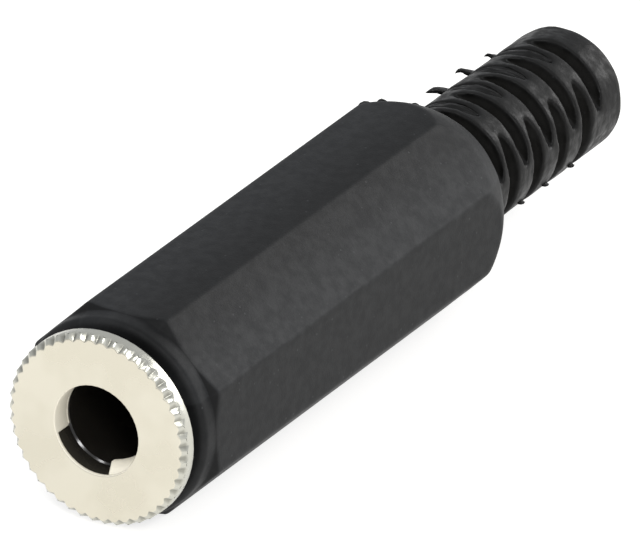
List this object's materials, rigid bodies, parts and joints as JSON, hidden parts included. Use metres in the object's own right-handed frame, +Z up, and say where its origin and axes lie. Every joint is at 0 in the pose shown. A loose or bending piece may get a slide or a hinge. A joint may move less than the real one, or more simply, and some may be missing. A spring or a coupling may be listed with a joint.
{
  "type": "stereo jack socket",
  "caption": "In-line 3.5 mm stereo jack socket: nickel-plated serrated front, black octagonal screw-on housing with a slotted cable guard, and inner contacts with solder tags.",
  "frame": {"origin": "centre of the plug mouth, on the front face of the flange", "axes": "+X along the plug axis from the mouth to the tail, +Z up; the part lies on the flat at -Z"},
  "size_m": [0.0343, 0.008, 0.008],
  "materials": {
    "housing_plastic": "matte moulded, fine grain",
    "nickel": "satin nickel plating",
    "insulator_plastic": "glossy moulded",
    "contact_metal": "tinned strip"
  },
  "bodies": {
    "contact_set": {"front_bushing": "nickel", "insulator": "insulator_plastic", "terminal_plate": "insulator_plastic", "ring_contact": "contact_metal", "tip_contact": "contact_metal", "sleeve_lug": "contact_metal"},
    "cover": {"housing": "housing_plastic"}
  },
  "joints": [
    {"name": "cover_slide", "type": "slide", "parent": "contact_set", "child": "cover", "axis": [1, 0, 0], "range_m": [0, 0.025]}
  ]
}
